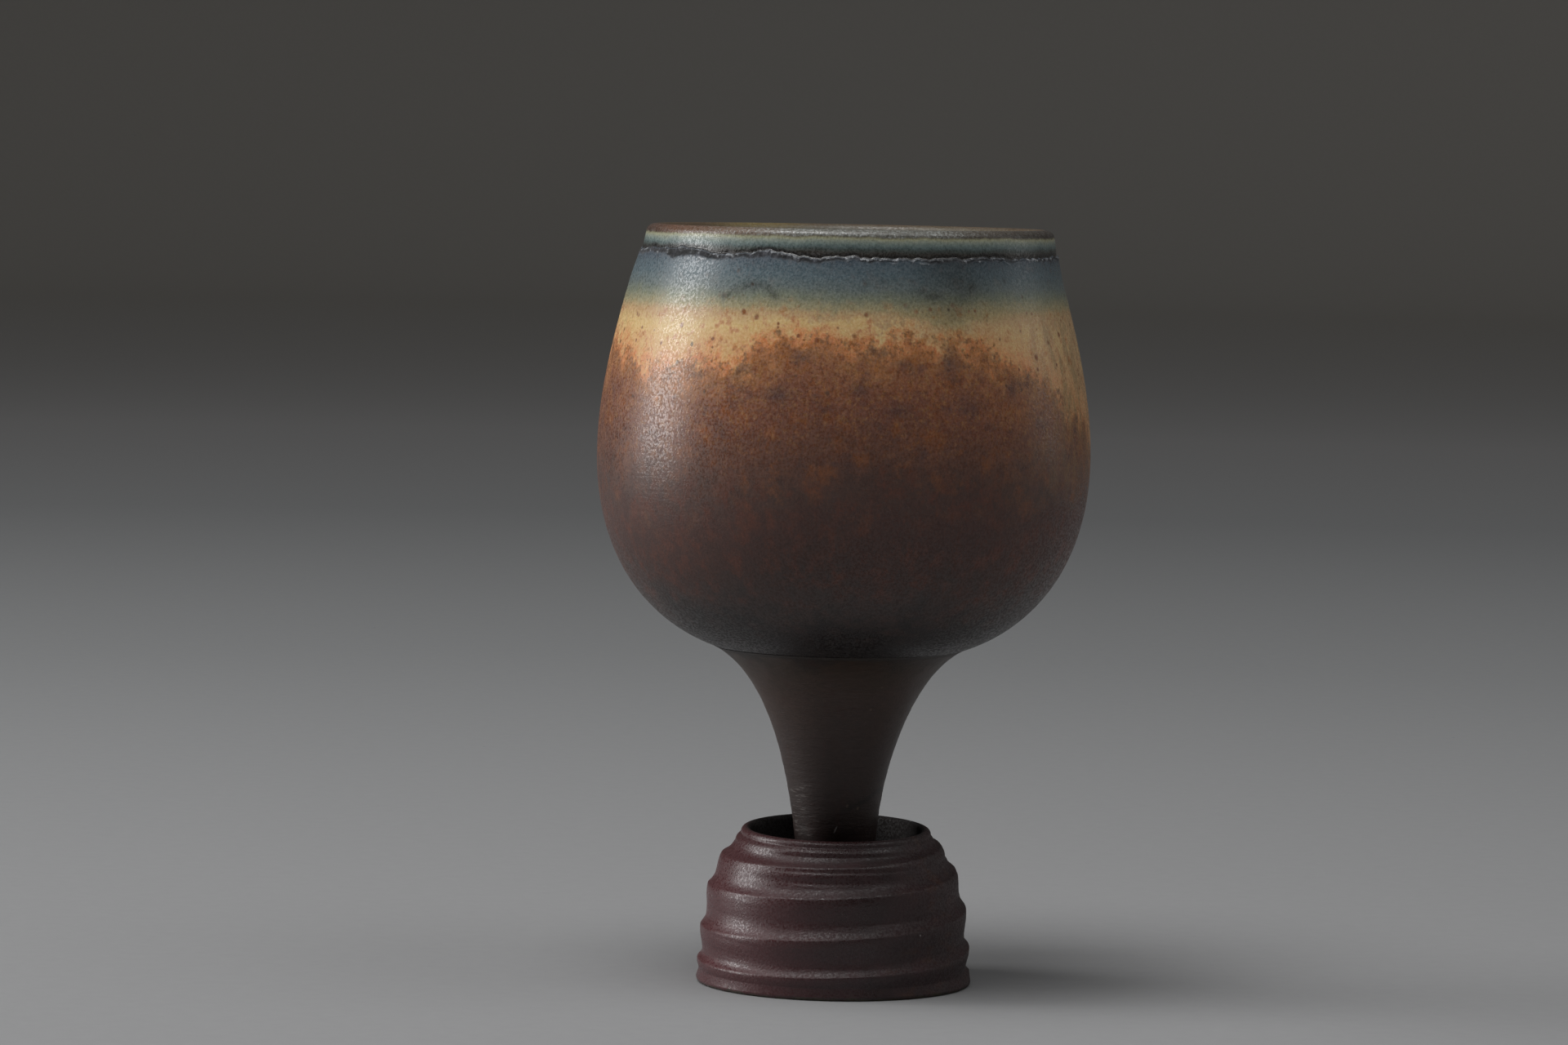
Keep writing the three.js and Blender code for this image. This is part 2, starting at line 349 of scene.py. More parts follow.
bowl = {
    "around": 320,  # points round a plain row
    "doubledFrom": 72.3,  # twice as many from this height up outside
    "doubledInsideFrom": 78.4,
    "crowded": (76.55, 77.8),  # four times as many between these heights outside
    # millimetres between rows
    "rowGaps": {"seat": 2.5, "wall": 0.6, "blueBand": 0.28, "tear": 0.055, "lip": 0.18,
                "neck": 0.5, "inside": 1.4},
    "blueBand": (72.4, 76.4),
    "tearTo": 78.0,
    "packedStep": 77.2,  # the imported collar's step, which gives way to the torn edge
    "inset": 0.05,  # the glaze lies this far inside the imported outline, so that its waves stay in it
    "offCentre": 0.05,  # the wall lies this far to the right of the axis
    "lipShift": 0.26,  # the lip was finished a little to the right of the belly
    "shiftFrom": 74,  # height at which that starts, and the height that it takes
    "shiftOver": 5,
    "insideSwell": 0.05,
    "turningLines": 0.012,  # depth of the lines left by the tool
    "seatRadius": 13.3,  # no lines under the bottom
    # where the glaze of the collar tore away from the wall's: degrees right of the front, height
    "tearLine": [
        (-110, 77.5), (-80, 77.4), (-60, 77.7), (-47, 77.6), (-34, 77.15), (-28, 77.45), (-22, 77.65),
        (-16, 77.35), (-13, 77.0), (-8, 76.85), (0, 77.25), (5, 77.05), (12, 77.1), (20, 77.0), (25, 77.2),
        (33, 77.0), (39, 77.2), (48, 77.1), (66, 77.15), (100, 77.35), (140, 77.0), (170, 77.4), (200, 77.1),
        (225, 77.6)],
    "tearWave": 0.085,
    "tearStep": 0.15,  # the collar lies this far behind the wall
    "stepFadeFrom": 77.3,  # height at which that starts to fade, and the height that it takes
    "stepFadeOver": 1.8,
    "bead": 0.06,  # rolled glaze along the torn edge
    "beadDrop": 0.1,  # how far its middle lies under the edge, which is also its half width
    "secondBead": 0.035,
    "secondDrop": 0.36,
    "groove": 0.05,
    "rag": 0.025,  # roughness of the torn strip
    "ragHeight": 1.1,
    "ragWidest": (-62, 34),  # where the strip is widest: degrees, spread
    # where the pale glaze ends and the rust starts: degrees right of the front, height
    "paleEnd": [
        (-110, 69.5), (-76, 69.0), (-52, 66.0), (-43, 65.8), (-34, 67.6), (-17, 68.5), (2, 69.5), (12, 70.3),
        (33, 69.0), (48, 65.6), (59, 63.4), (66, 62.0), (78, 59.5), (100, 57.0), (135, 60.0), (165, 65.5),
        (195, 68.5), (225, 70.0)],
    # smoky patches: degrees, height, half its width and half its height, strength
    "smoke": [
        (-16, 63.1, 1.5, 1.0, 0.8), (-9.2, 67.3, 0.7, 0.4, 0.8), (25, 66.4, 1.0, 1.3, 0.9),
        (3.4, 63.9, 0.9, 0.5, 0.9), (12, 61.8, 1.3, 0.8, 0.7), (29, 62.3, 1.6, 0.9, 0.6),
        (42, 63.9, 0.7, 0.8, 0.8), (13.5, 66.4, 0.8, 0.5, 0.7), (-24.5, 73.8, 0.35, 0.4, 0.6),
        (22, 73.3, 0.9, 0.35, 1.0), (19, 73.8, 0.6, 0.3, 0.5), (33.5, 74.3, 0.6, 0.5, 0.9),
        (30, 75.0, 1.2, 0.7, 0.4), (4.3, 74.6, 0.3, 0.4, 0.7), (9, 74.8, 0.3, 0.3, 0.5),
        (45, 74.9, 0.4, 0.3, 0.6), (150, 66.0, 1.6, 1.0, 0.8), (170, 63.0, 1.8, 0.9, 0.7),
        (200, 66.0, 1.2, 0.8, 0.8), (230, 64.0, 1.4, 0.8, 0.7)],
    # dark run mark in the blue band: degrees, height
    "arc": [(-33, 72.9), (-29, 73.7), (-25, 74.35), (-21.5, 74.0), (-18.5, 73.1)],
    "arcWidth": 0.42,
    "arcStrength": 0.7,
    "rightShade": (31, 15),  # painted shade: where the blue band is darkened right of the front, where less light reaches it: degrees, spread
    "ochre": (68, 19),  # where the pale glaze thins out in brown streaks
    # colours up the outside, with the pale glaze ending at rampPale
    "bands": [
        (35.5, "241f1e"), (38.5, "2c2421"), (42.0, "4b3832"), (45.4, "57362c"), (49.6, "603b31"),
        (53.5, "66483d"), (57.0, "815645"), (60.4, "905c48"), (63.4, "a56b4d"), (65.6, "c48758"),
        (67.0, "dea268"), (67.9, "e6be80"), (68.8, "e0c288"), (70.2, "e2cc96"), (71.4, "ceb886"),
        (72.2, "b6ac86"), (73.0, "90957f"), (74.0, "768280"), (75.2, "66787f"), (76.2, "60717a"),
        (77.0, "535f6b")],
    "rampBottom": 50.0,  # the colours are drawn out between these two heights
    "rampPale": 67.8,
    "rampTop": 71.0,
    "tornStrip": [(0.3, "141316"), (0.6, "26262b"), (0.85, "585a62")],
    # the collar's darkest stops, at its foot, are painted shade of the groove above the torn edge
    "collar": [
        (77.1, "39332e"), (77.6, "403c36"), (77.95, "505a56"), (78.2, "6c7d7c"), (78.5, "8a9a93"),
        (78.8, "a5ad9d"), (79.02, "b6b696"), (79.25, "8c8466")],
    # along the lip from left to right: its browns, with a grey middle that is partly painted sheen
    "lip": [
        (-21.0, "4a3226"), (-18.0, "74503a"), (-11.0, "7a6452"), (-5.0, "727067"), (8.0, "706e66"),
        (13.0, "5a5248"), (21.0, "3c322a")],
    "inside": [
        (39.0, "3a3531"), (46.0, "4b3d35"), (56.0, "6b4e3a"), (66.0, "8b7a5c"), (72.0, "7f8677"),
        (76.0, "808a88"), (79.0, "88908c"), (79.4, "6c6450"), (80.0, "5a4834")],
    "smoky": [(60.0, "564449"), (68.0, "5e4a48"), (73.0, "4a4e46"), (77.0, "3c4448")],
    "rust": "ae6630",
    "blush": "80452f",
    "fleck": "c08c56",
    "brownStreak": "a3845a",
    "spot": "6e3a26",
    "grey": "624a48",
    "halo": "c07a3c",  # round the iron specks
    "dot": "9c5228",
    "iron": "58402e",
    "rightShadeTint": "2c2c24",
    "lipPaintedSheen": "bcc0bc",
    "grooveShade": "1e1a18",
    "edgeGlint": "d4d8dc",
    "ochreLip": "857444",
    "brownLip": "4c3626",
}


def bowlRows():
    outline = cadOutline("bowl")
    crest = int(np.argmax(outline[:, 1]))
    stepped = (abs(outline[:, 1] - bowl["packedStep"]) < 0.2) & (np.arange(len(outline)) < crest)
    runs = smoothRuns(outline[~stepped])
    for run in runs:
        run[:, 0] = np.where(run[:, 0] > 1, run[:, 0] - bowl["inset"], run[:, 0])

    seat = runs[0][0, 1] + 0.01
    gaps = bowl["rowGaps"]
    (blueFrom, tearFrom), tearTo = bowl["blueBand"], bowl["tearTo"]

    def outerGap(radius, height):
        # closest along the torn edge
        gap = np.where(height < seat, gaps["seat"], np.where(height > tearTo, gaps["lip"], gaps["wall"]))
        gap = np.where((height > blueFrom) & (height < tearFrom), gaps["blueBand"], gap)
        return np.where((height > tearFrom) & (height < tearTo), gaps["tear"], gap)

    def innerGap(radius, height):
        return np.where(height > 79, gaps["lip"], np.where(height > 76, gaps["neck"], gaps["inside"]))

    # the lip's crest parts the outer rows from the inner ones
    high = max(range(len(runs)), key=lambda k: runs[k][:, 1].max())
    top = int(np.argmax(runs[high][:, 1]))
    outerRows, corners = layRows(runs[:high] + [runs[high][:top + 1]], outerGap)
    innerRows, _ = layRows([runs[high][top:]] + runs[high + 1:], innerGap)
    return np.concatenate([outerRows, innerRows[1:]]), corners, len(outerRows)


def lineAt(turn, points):
    # height of a line drawn round the bowl through its points
    degrees, height = np.array(points).T
    first = degrees[0]
    around = (turn * 360 - first) % 360 + first
    return np.interp(around, np.append(degrees, first + 360), np.append(height, height[0]))


def tearAt(turn):
    waves = ringWaves(turn, 95, 11) + 1.2 * ringWaves(turn, 210, 12) + 0.7 * ringWaves(turn, 430, 13)
    return lineAt(turn, bowl["tearLine"]) + bowl["tearWave"] * waves


def paleEndAt(turn):
    return lineAt(turn, bowl["paleEnd"]) + 0.5 * ringWaves(turn, 31, 24) + 0.3 * ringWaves(turn, 77, 25)


def smokeAt(turn, radius, height):
    # the smoky patches, and the run mark as a soft line from point to point
    found = 0 * turn
    for degrees, level, wide, tall, strength in bowl["smoke"]:
        across = np.radians(aroundFrom(turn, degrees)) * radius
        found = np.maximum(found, strength * near(np.hypot(across / wide, (height - level) / tall), 0, 1))
    for (fromDegrees, low), (toDegrees, high) in zip(bowl["arc"][:-1], bowl["arc"][1:]):
        a = np.array([math.radians(fromDegrees) * radius, low])
        along = np.array([math.radians(toDegrees) * radius, high]) - a
        across = np.radians(aroundFrom(turn, 0)) * radius
        share = np.clip(((across - a[0]) * along[0] + (height - a[1]) * along[1]) / (along @ along), 0, 1)
        off = np.hypot(across - a[0] - share * along[0], height - a[1] - share * along[1])
        found = np.maximum(found, bowl["arcStrength"] * near(off, 0, bowl["arcWidth"]))
    return found


def pointsRound(height, outer):
    low, high = bowl["crowded"]
    if outer and low < height < high:
        return 4 * bowl["around"]
    if height > bowl["doubledInsideFrom"] or (outer and height > bowl["doubledFrom"]):
        return 2 * bowl["around"]
    return bowl["around"]


def tornEdge(turn, radius, height):
    # the step back to the collar, the beads and the groove along it, and the rough strip under them
    over = height - tearAt(turn)
    uneven = smooth(0.4 + 1.6 * ringWaves(turn, 190, 14))
    beadSize = 0.05 + 0.95 * uneven * (0.7 + 0.3 * ringWaves(turn, 37, 15))
    stepFade = smooth((height - bowl["stepFadeFrom"]) / bowl["stepFadeOver"])
    r = radius - bowl["tearStep"] * smooth(over / 0.12 + 0.5) * (1 - stepFade)
    curl = over + 0.07 * ringWaves(turn, 260, 26)
    drop = bowl["beadDrop"]
    r = r + bowl["bead"] * beadSize * near(curl, -drop, drop)
    second = near(over, -bowl["secondDrop"] + 0.12 * ringWaves(turn, 90, 16), 0.08)
    second = second * smooth(ringWaves(turn, 240, 17) * 1.6)
    r = r + bowl["secondBead"] * second - bowl["groove"] * near(over, 0.17, 0.14)
    widest, spread = bowl["ragWidest"]
    ragHeight = bowl["ragHeight"] * (0.4 + 0.6 * near(aroundFrom(turn, widest), 0, spread))
    ragHeight = ragHeight * (1 + 0.4 * ringWaves(turn, 60, 18))
    torn = smooth((over + ragHeight) / 0.4) * smooth(-over / 0.1 + 0.3)
    rag = wallWaves(turn, height, 620, 0.4, 19) + 0.6 * wallWaves(turn, height, 300, 0.2, 20)
    shine = near(curl, -drop, 0.12) * beadSize + 0.5 * second
    return r + bowl["rag"] * torn * rag, {"overTear": over, "torn": torn, "edgeShine": shine}


def makeBowl(finish):
    rows, corners, outerCount = bowlRows()
    counts = [1 if radius < 0.01 else pointsRound(height, index < outerCount)
              for index, (radius, height) in enumerate(rows)]
    clearOfTear = 3.0

    def shape(turn, radius, height, index):
        inner = index >= outerCount
        if radius < 0.01:
            return 0 * turn, height, {"inner": float(inner), "overTear": clearOfTear}
        aside = np.sin(2 * np.pi * turn)
        shifted = smooth((height - bowl["shiftFrom"]) / bowl["shiftOver"])
        drawnIn = bowl["offCentre"] * (1 - aside) - bowl["lipShift"] * aside * shifted
        if inner:
            swell = bowl["insideSwell"] * wallWaves(turn, height, 3, 2.1, 31) * smooth((79 - height) / 4)
            return radius - drawnIn + swell, height, {"inner": 1.0, "overTear": clearOfTear}
        r, marked = tornEdge(turn, radius, height)
        lines = wallWaves(turn, height, 3, 0.55, 21) + 0.6 * wallWaves(turn, height, 5, 0.24, 22)
        lower = smooth((62 - height) / 18) * (radius > bowl["seatRadius"])
        r = r - bowl["turningLines"] * (1 + lines) * lower
        # the lip's crest is a little uneven
        rise = height - 0.025 * (1 + ringWaves(turn, 9, 23)) * smooth((height - 79.3) / 0.6)
        marked["paleEnd"] = paleEndAt(turn)
        marked["smoke"] = smokeAt(turn, radius, height)
        around, spread = bowl["rightShade"]
        marked["rightShade"] = near(aroundFrom(turn, around), 0, spread) * smooth((height - 67) / 6)
        around, spread = bowl["ochre"]
        marked["ochre"] = near(aroundFrom(turn, around), 0, spread) * smooth((height - 50) / 7)
        marked["ochre"] = marked["ochre"] * smooth((74 - height) / 5)
        return r - drawnIn, rise, marked

    turnPiece("thrown_bowl", rows, corners, evenCounts(counts), shape, finish)


def bowlGlaze():
    finish, tree, shader, place, parts = newFinish("bowlGlaze")
    height, across = parts.outputs["Z"], parts.outputs["X"]
    over, inner, torn = mark(tree, "overTear"), mark(tree, "inner"), mark(tree, "torn")
    shine, smoke, paleEnd = mark(tree, "edgeShine"), mark(tree, "smoke"), mark(tree, "paleEnd")

    # clouds, streaks and mottle shift the height at which the colour is read, most where the glaze is rusty
    cloud = calc(tree, "SUBTRACT", noise(tree, place, 0.16, 2.0), 0.5)
    streak = calc(tree, "SUBTRACT", noise(tree, place, 0.9, 3.0, 0.6, (1, 1, 0.5), 7.0), 0.5)
    mottle = calc(tree, "SUBTRACT", noise(tree, place, 0.75, 4.0, 0.62, (1, 1, 0.9), 3.0), 0.5)
    busy = fade(tree, calc(tree, "SUBTRACT", height, paleEnd), -2.0, 3.4, 1.0, 0.1)
    shift = total(tree, (cloud, 7.0), (streak, 2.4), (mottle, 8.2))
    moved = total(tree, (height, 1.0), (times(tree, shift, busy), 1.0))

    # the colours are read so that the pale glaze ends at its mark, wherever that lies on the wall
    bottom, pale, top = bowl["rampBottom"], bowl["rampPale"], bowl["rampTop"]
    below = add(tree, "MapRange", {"Value": moved, "From Min": bottom, "From Max": paleEnd,
                                   "To Min": bottom, "To Max": pale})
    above = add(tree, "MapRange", {"Value": moved, "From Min": paleEnd, "From Max": top,
                                   "To Min": 0.0, "To Max": top - pale})
    higher = calc(tree, "MAXIMUM", calc(tree, "SUBTRACT", moved, top), 0.0)
    lower = calc(tree, "MINIMUM", calc(tree, "SUBTRACT", moved, bottom), 0.0)
    read = total(tree, (below.outputs[0], 1.0), (above.outputs[0], 1.0), (higher, 1.0), (lower, 1.0))
    body = ramp(tree, read, 35.0, 78.0, bowl["bands"])

    # rust bleeding through, tan flecks between it, and grey and smoky patches
    inBrown = times(tree, fade(tree, read, 47.0, 58.0), fade(tree, read, 67.2, 68.8, 1.0, 0.0))
    rust = fade(tree, noise(tree, place, 0.45, 4.0, 0.62, (1, 1, 0.9), 21.0), 0.48, 0.7)
    body = tint(tree, body, bowl["rust"], rust, inBrown, 0.55)
    blush = fade(tree, noise(tree, place, 0.6, 4.0, 0.65, (1, 1, 0.7), 57.0), 0.46, 0.68)
    low = times(tree, fade(tree, read, 39.0, 46.0), fade(tree, read, 52.0, 60.0, 1.0, 0.0))
    body = tint(tree, body, bowl["blush"], blush, low, 0.6)
    fleck = fade(tree, noise(tree, place, 2.0, 4.0, 0.7, (1, 1, 0.85), 51.0), 0.48, 0.68)
    body = tint(tree, body, bowl["fleck"], fleck, fade(tree, read, 54.0, 62.0), inBrown, 0.6)
    streaked = fade(tree, noise(tree, place, 0.8, 4.0, 0.65, (1, 1, 0.35), 91.0), 0.4, 0.62, 0.1, 0.55)
    body = tint(tree, body, bowl["brownStreak"], mark(tree, "ochre"), streaked)
    spotted = fade(tree, noise(tree, place, 1.7, 4.0, 0.7, (1, 1, 0.9), 97.0), 0.5, 0.66)
    body = tint(tree, body, bowl["spot"], spotted, fade(tree, read, 57.0, 63.0), inBrown, 0.5)
    dim = fade(tree, noise(tree, place, 0.42, 4.0, 0.65, (1, 1, 1.2), 33.0), 0.52, 0.72)
    body = tint(tree, body, bowl["grey"], dim, inBrown, 0.55)
    ragged = times(tree, smoke, fade(tree, mottle, -0.25, 0.12, 0.4, 1.0))
    body = blend(tree, ragged, body, ramp(tree, height, 60.0, 78.0, bowl["smoky"]))

    # iron specks: soft orange smudges in the pale glaze, small rusty dots and a few dark ones
    inPale = times(tree, fade(tree, read, 62.0, 67.0), fade(tree, height, 71.0, 73.5, 1.0, 0.08))
    halo = fade(tree, noise(tree, place, 0.85, 3.0, 0.6, (1, 1, 0.9), 61.0), 0.54, 0.72)
    body = tint(tree, body, bowl["halo"], halo, inPale, 0.6)
    wide = specks(tree, place, 0.8, 0.45, 0.8, 0.9, 3.0)
    fine = specks(tree, place, 1.5, 0.3, 0.5, 0.9, 17.0)
    body = tint(tree, body, bowl["dot"], calc(tree, "MAXIMUM", wide, fine), inPale, 0.85)
    iron = specks(tree, place, 0.65, 0.42, 0.6, 0.85, 5.0)
    iron = times(tree, iron, fade(tree, height, 74.5, 76.5, 1.0, 0.5), fade(tree, read, 56.0, 64.0))
    body = tint(tree, body, bowl["iron"], iron, 0.75)
    # painted shade over the blue band right of the front
    body = tint(tree, body, bowl["rightShadeTint"], mark(tree, "rightShade"), fade(tree, cloud, -0.2, 0.2, 0.3, 0.6))

    # torn strip, then the collar over it, with painted shade along its foot in the groove above the torn
    # edge, and the lip
    strip = ramp(tree, calc(tree, "ADD", times(tree, streak, 2.0), 0.5), 0.0, 1.0, bowl["tornStrip"])
    body = blend(tree, torn, body, strip)
    wisp = calc(tree, "SUBTRACT", noise(tree, place, 0.5, 4.0, 0.6, (1, 1, 1), 44.0), 0.5)
    collarRead = total(tree, (height, 1.0), (wisp, 0.5))
    collar = ramp(tree, collarRead, 77.0, 80.2, bowl["collar"])
    # painted highlight: a pale silver speckle over the middle of the lip stands for the sheen on its crest
    sparkle = fade(tree, noise(tree, place, 4.0, 3.0, 0.7, (1, 1, 1), 83.0), 0.5, 0.6)
    inMiddle = fade(tree, calc(tree, "ABSOLUTE", across), 16.0, 8.0, 0.15, 0.6)
    lip = tint(tree, ramp(tree, across, -22.0, 22.0, bowl["lip"]), bowl["lipPaintedSheen"], sparkle, inMiddle)
    collar = blend(tree, fade(tree, collarRead, 79.1, 79.35), collar, lip)
    # painted shade: the collar darkened along the groove just above the torn edge
    dark = fade(tree, calc(tree, "ADD", over, times(tree, wisp, 0.8)), 0.12, 0.6, 0.95, 0.0)
    collar = tint(tree, collar, bowl["grooveShade"], dark)
    outside = blend(tree, fade(tree, over, -0.03, 0.06), body, collar)
    # painted highlight: white dashes along the beads of the torn edge for their glints
    dash = fade(tree, noise(tree, place, 2.2, 3.0, 0.7, (1, 1, 0.6), 71.0), 0.48, 0.57)
    dash = calc(tree, "MULTIPLY", times(tree, shine, dash), 0.9, clamp=True)
    outside = tint(tree, outside, bowl["edgeGlint"], dash)

    # inside: the same pale glaze, thicker and darker towards the bottom
    insideRead = total(tree, (height, 1.0), (shift, fade(tree, height, 60.0, 75.0, 0.5, 0.1)))
    inside = ramp(tree, insideRead, 38.0, 80.2, bowl["inside"])
    atLip = fade(tree, height, 73.0, 77.5, 0.0, 0.8)
    inside = tint(tree, inside, bowl["ochreLip"], fade(tree, across, -2.0, -9.0), atLip)
    inside = tint(tree, inside, bowl["brownLip"], fade(tree, across, -10.0, -16.0), atLip)
    base = blend(tree, inner, outside, inside)
    grain = noise(tree, place, 4.5, 2.0, 0.6, (1, 1, 0.6), 9.0)
    base = grained(tree, base, grain, 0.6, (0.28, "585858"), (0.72, "a4a4a4"))

    # satin surface with a fine grain that glitters where a lamp is mirrored, and faint turning lines
    satin = fade(tree, height, 44.0, 60.0, 0.32, 0.2)
    glitter = fade(tree, noise(tree, place, 4.0, 3.0, 0.7, (1, 1, 0.9), 19.0), 0.42, 0.58, 0.0, 0.36)
    satin = total(tree, (satin, 1.0), (mottle, 0.15), (glitter, 1.0), (shine, -0.3), (torn, 0.6),
                  (inner, 0.12))
    shader.inputs["IOR"].default_value = glazeIor
    peel = noise(tree, place, 0.9, 2.0, 0.5, (1, 1, 1), 27.0)
    lines = noise(tree, place, 3.0, 2.0, 0.6, (0.05, 0.05, 1), 29.0)
    tooth = noise(tree, place, 3.9, 3.0, 0.65, (1, 1, 0.9), 15.0)
    raised = bump(tree, peel, 0.05 * mm, 0.2)
    raised = bump(tree, lines, 0.02 * mm, fade(tree, height, 66.0, 50.0, 0.1, 0.6), raised)
    raised = bump(tree, tooth, fade(tree, height, 79.0, 79.3, 0.03 * mm, 0.05 * mm), 1.0, raised)
    wire(tree, shader, base, calc(tree, "MINIMUM", satin, 0.95), raised)
    return finish


# Stem

stem = {
    "around": 240,
    "rowGap": 0.24,
    "inset": 0.03,
    "lines": 0.014,
    "lean": 0.13,  # thrown this much to the left where it is thinnest
    "thinnest": 21,
    "scratch": 16.7,  # height of a scratch, with a painted glint along it
    "scratchSlope": 0.42,
    "scratchCrosses": -7.11,  # where its line would cross the foot
    "crease": 18.6,  # height at the axis
    "creaseSlope": 0.45,
    "colours": [
        (10.5, "1c0f0c"), (14.0, "281512"), (18.0, "2f201c"), (25.0, "392a25"), (31.0, "413028"),
        (34.0, "3b2d23"), (35.8, "2c231e")],
    "rust": "3d2018",
    "speck": "6a5a4a",
    "scratchGlint": "a8a4a0",
    "scuff": "7c7470",
    "creaseTint": "140b09",
}


def makeStem(finish):
    runs = smoothRuns(cadOutline("stem"))
    base, top = runs[0][0, 1], runs[-1][-1, 1]

    def flat(height):
        return (height < base + 0.01) | (height > top - 0.01)

    rows, corners = layRows(runs, lambda radius, height: np.where(flat(height), 2.0, stem["rowGap"]))
    counts = [1 if radius < 0.01 else stem["around"] for radius, _ in rows]

    def shape(turn, radius, height, index):
        if flat(height) or radius < 0.01:
            return radius + 0 * turn, height, {}
        wound = height + 0.4 * turn
        lines = wallWaves(turn, wound, 4, 0.5, 41) + 0.7 * wallWaves(turn, wound, 7, 0.25, 42)
        aside = stem["lean"] * np.sin(2 * np.pi * turn) * near(height, stem["thinnest"], 7)
        ends = smooth((top - height) / 2)
        return radius - (stem["inset"] + stem["lines"] * (1 + lines)) * ends - aside, height, {}

    turnPiece("thrown_stem", rows, corners, evenCounts(counts), shape, finish)


def stemGlaze():
    finish, tree, shader, place, parts = newFinish("stemGlaze")
    height, across = parts.outputs["Z"], parts.outputs["X"]
    cloud = calc(tree, "SUBTRACT", noise(tree, place, 0.3, 4.0, 0.6, (1, 1, 0.6)), 0.5)
    read = calc(tree, "ADD", height, times(tree, cloud, 9.0))
    base = ramp(tree, read, 10.0, 36.0, stem["colours"])
    rust = fade(tree, noise(tree, place, 0.6, 4.0, 0.6, (1, 1, 0.4), 12.0), 0.55, 0.75)
    base = tint(tree, base, stem["rust"], rust, 0.5)
    grain = noise(tree, place, 2.6, 4.0, 0.7, (0.5, 0.5, 1.3), 41.0)
    base = grained(tree, base, grain, 0.5, (0.3, "949494"), (0.7, "dcdcdc"))
    base = tint(tree, base, stem["speck"], specks(tree, place, 0.9, 0.2, 0.35), 0.5)

    # the scratch with its painted glint, and pale turning marks low on the left
    inFront = fade(tree, parts.outputs["Y"], 0.0, -1.0)
    off = total(tree, (across, 1.0), (height, -stem["scratchSlope"]), (stem["scratchCrosses"], -1.0))
    scratch = fade(tree, calc(tree, "ABSOLUTE", off), 0.03, 0.1, 1.0, 0.0)
    along = calc(tree, "ABSOLUTE", calc(tree, "SUBTRACT", height, stem["scratch"]))
    base = tint(tree, base, stem["scratchGlint"], scratch, fade(tree, along, 0.2, 0.45, 0.7, 0.0), inFront)
    scuffs = fade(tree, noise(tree, place, 1.6, 3.0, 0.6, (0.35, 0.35, 2.2), 37.0), 0.56, 0.66)
    low = times(tree, fade(tree, height, 22.5, 20.0), fade(tree, across, -1.4, -3.0))
    base = tint(tree, base, stem["scuff"], scuffs, low, 0.5)

    # a dark crease that climbs to the right
    off = total(tree, (height, 1.0), (across, -stem["creaseSlope"]), (cloud, 2.0), (stem["crease"], -1.0))
    crease = fade(tree, calc(tree, "ABSOLUTE", off), 0.1, 0.45, 0.6, 0.0)
    onRight = times(tree, fade(tree, across, 0.0, 1.5), inFront)
    base = tint(tree, base, stem["creaseTint"], crease, onRight)

    satin = add(tree, "MapRange", {"Value": cloud, "From Min": -0.3, "From Max": 0.3,
                                   "To Min": 0.42, "To Max": 0.6})
    lines = noise(tree, place, 2.6, 3.0, 0.7, (0.12, 0.12, 1), 29.0)
    tooth = noise(tree, place, 3.6, 2.5, 0.6, (0.7, 0.7, 1.2))
    raised = bump(tree, tooth, 0.03 * mm, 1.0, bump(tree, lines, 0.05 * mm, 0.9))
    wire(tree, shader, base, satin.outputs[0], raised)
    return finish


# Beds of luting slip

def makeSlip(name, around, wave, seed, finish):
    runs = smoothRuns(cadOutline(name), step=0.01)
    rim = max(run[:, 0].max() for run in runs)
    rows, corners = layRows(runs, lambda radius, height: np.where(radius < rim - 1, 1.2, 0.05))
    counts = [1 if radius < 0.01 else around for radius, _ in rows]

    def shape(turn, radius, height, index):
        pressed = wave * (1 + 0.6 * ringWaves(turn, 17, seed) + 0.4 * ringWaves(turn, 61, seed + 1))
        return radius - pressed * smooth((radius - rim + 1) / 0.6), height, {}

    turnPiece("thrown_" + name, rows, corners, evenCounts(counts), shape, finish)


def slipGlaze(name, dark, light):
    finish, tree, shader, place, _ = newFinish(name)
    cloud = noise(tree, place, 1.2, 4.0, 0.6)
    base = ramp(tree, cloud, 0.0, 1.0, [(0.3, dark), (0.7, light)])
    rough = add(tree, "MapRange", {"Value": cloud, "To Min": 0.45, "To Max": 0.7})
    raised = bump(tree, noise(tree, place, 3.0, 3.0), 0.02 * mm, 0.8)
    wire(tree, shader, base, rough.outputs[0], raised)
    return finish


# Foot

